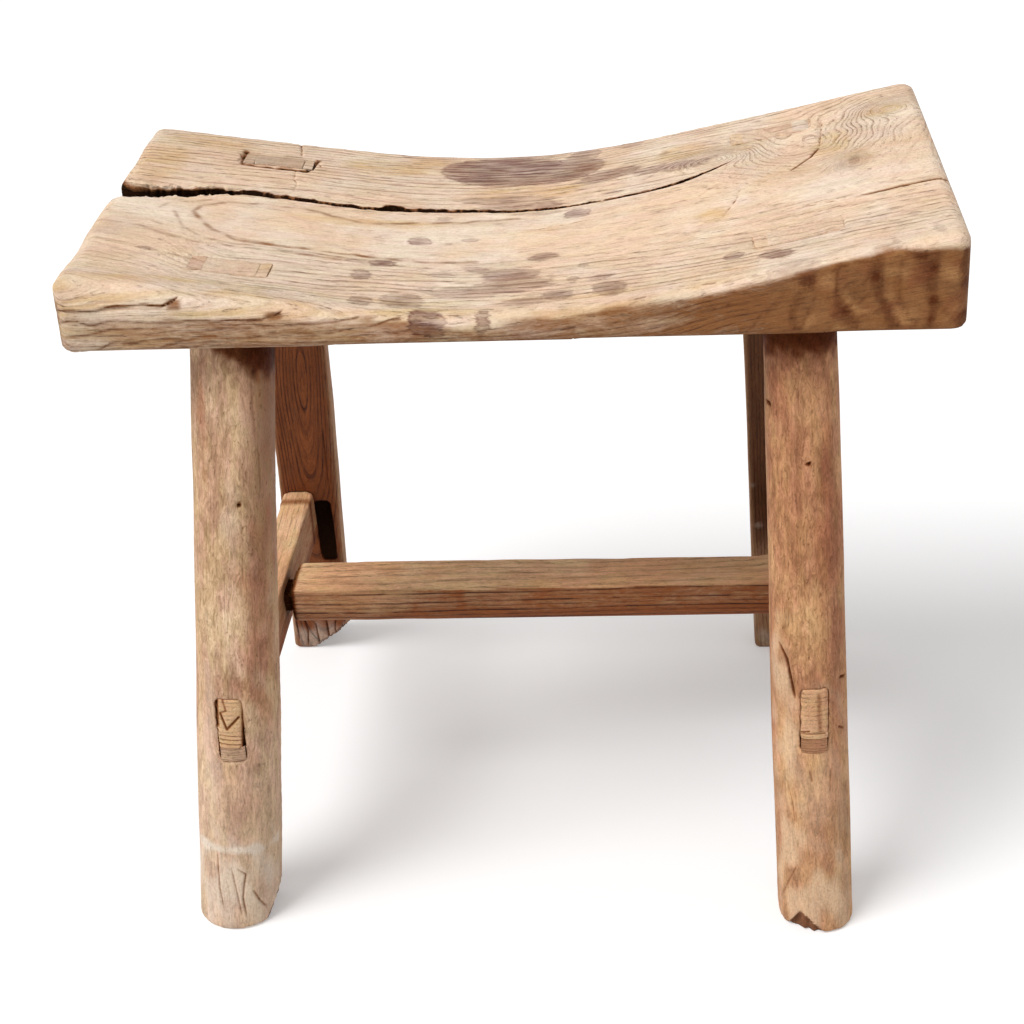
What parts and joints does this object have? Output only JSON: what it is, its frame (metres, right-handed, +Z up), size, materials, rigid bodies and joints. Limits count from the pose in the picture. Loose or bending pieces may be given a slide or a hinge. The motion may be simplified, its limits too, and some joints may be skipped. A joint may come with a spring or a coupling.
{
  "type": "wooden stool",
  "caption": "Low rustic stool: dished plank seat with an end split, splayed legs round outside and flat inside, wedged through tenons, and an H of rails.",
  "frame": {"origin": "on the floor, under the middle of the seat", "axes": "+Z up, +X along the seat's length to the picture's right, -Y to the front"},
  "size_m": [0.4805, 0.3476, 0.4227],
  "materials": {
    "seat_wood": "worn bare elm, waxed by use",
    "leg_wood": "worn bare elm, matt",
    "rail_wood": "worn bare elm, matt",
    "wedge_wood": "split hardwood, end grain showing"
  },
  "bodies": {
    "root": {"seat": "seat_wood", "leg_front_left": "leg_wood", "leg_front_right": "leg_wood", "leg_back_left": "leg_wood", "leg_back_right": "leg_wood", "seat_wedge_front_left_outer": "wedge_wood", "seat_wedge_front_left_inner": "wedge_wood", "seat_wedge_front_right_outer": "wedge_wood", "seat_wedge_front_right_inner": "wedge_wood", "seat_wedge_back_left_outer": "wedge_wood", "seat_wedge_back_left_inner": "wedge_wood", "seat_wedge_back_right_outer": "wedge_wood", "seat_wedge_back_right_inner": "wedge_wood", "side_rail_left": "rail_wood", "side_rail_right": "rail_wood", "rail_wedge_front_left": "wedge_wood", "rail_wedge_front_right": "wedge_wood", "rail_wedge_back_left": "wedge_wood", "rail_wedge_back_right": "wedge_wood", "middle_wedge_left": "wedge_wood", "middle_wedge_right": "wedge_wood", "middle_rail": "rail_wood"}
  },
  "joints": []
}
